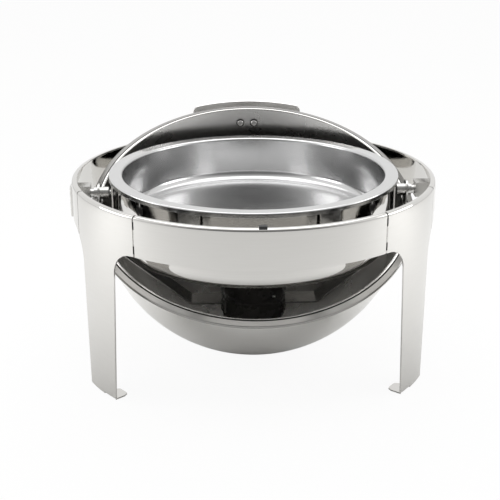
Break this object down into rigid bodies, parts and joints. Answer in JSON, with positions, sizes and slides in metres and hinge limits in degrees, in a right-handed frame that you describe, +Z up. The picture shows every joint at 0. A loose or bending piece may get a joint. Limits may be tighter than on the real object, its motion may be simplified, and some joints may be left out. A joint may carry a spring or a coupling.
{
  "type": "roll top chafer",
  "caption": "Round roll top chafer: a dome lid that rolls back under a ring on three legs, with a food pan, a water pan and a fuel holder.",
  "frame": {"origin": "on the floor under the middle of the ring", "axes": "+X to the right seen from the front, along the dome's pivots; +Y to the back; +Z up"},
  "size_m": [0.508, 0.5, 0.316],
  "materials": {
    "polished_steel": "mirror polished stainless steel",
    "brushed_steel": "satin stainless steel",
    "satin_steel": "fine satin stainless steel",
    "black_enamel": "gloss black",
    "black_rubber": "matt",
    "black_plastic": "matt"
  },
  "bodies": {
    "frame": {"front_band_panel": "polished_steel", "right_leg_panel": "polished_steel", "left_leg_panel": "polished_steel", "rear_leg_panel": "polished_steel", "right_side_panel": "polished_steel", "left_side_panel": "polished_steel", "splice_plates": "black_enamel", "front_bumper": "black_rubber", "rear_stop_bracket": "polished_steel", "rear_bumper": "black_rubber", "right_pivot_block": "brushed_steel", "left_pivot_block": "brushed_steel", "pivot_pins": "brushed_steel", "pin_clips": "brushed_steel", "pivot_cover_plates": "polished_steel", "pivot_spacers": "brushed_steel", "pan_carrier_ring": "brushed_steel", "front_carrier_brackets": "brushed_steel", "burner_strap": "polished_steel", "fuel_holder_cup": "black_enamel", "holder_rivets": "brushed_steel", "water_pan": "polished_steel"},
    "dome": {"dome_shell": "polished_steel", "dome_rim_bead": "polished_steel", "right_dome_lug": "brushed_steel", "left_dome_lug": "brushed_steel", "dome_bosses": "brushed_steel", "pivot_bushes": "black_plastic", "handle_plate": "polished_steel", "handle_pedestal": "polished_steel", "handle_screws": "polished_steel", "handle_washers": "black_plastic"},
    "food_pan": {"food_pan": "satin_steel"},
    "vent": {"vent_collar": "black_enamel", "vent_knob": "polished_steel"}
  },
  "joints": [
    {"name": "dome_roll", "type": "hinge", "parent": "frame", "child": "dome", "pos_m": [0, 0, 0.238], "axis": [1, 0, 0], "range_deg": [0, 154.7]},
    {"name": "food_pan_lift", "type": "slide", "parent": "frame", "child": "food_pan", "axis": [0, 0, 1], "range_m": [0, 0.035]},
    {"name": "vent_turn", "type": "hinge", "parent": "frame", "child": "vent", "pos_m": [0, 0, 0.105], "axis": [0, 0, 1], "range_deg": [0, 60]}
  ]
}
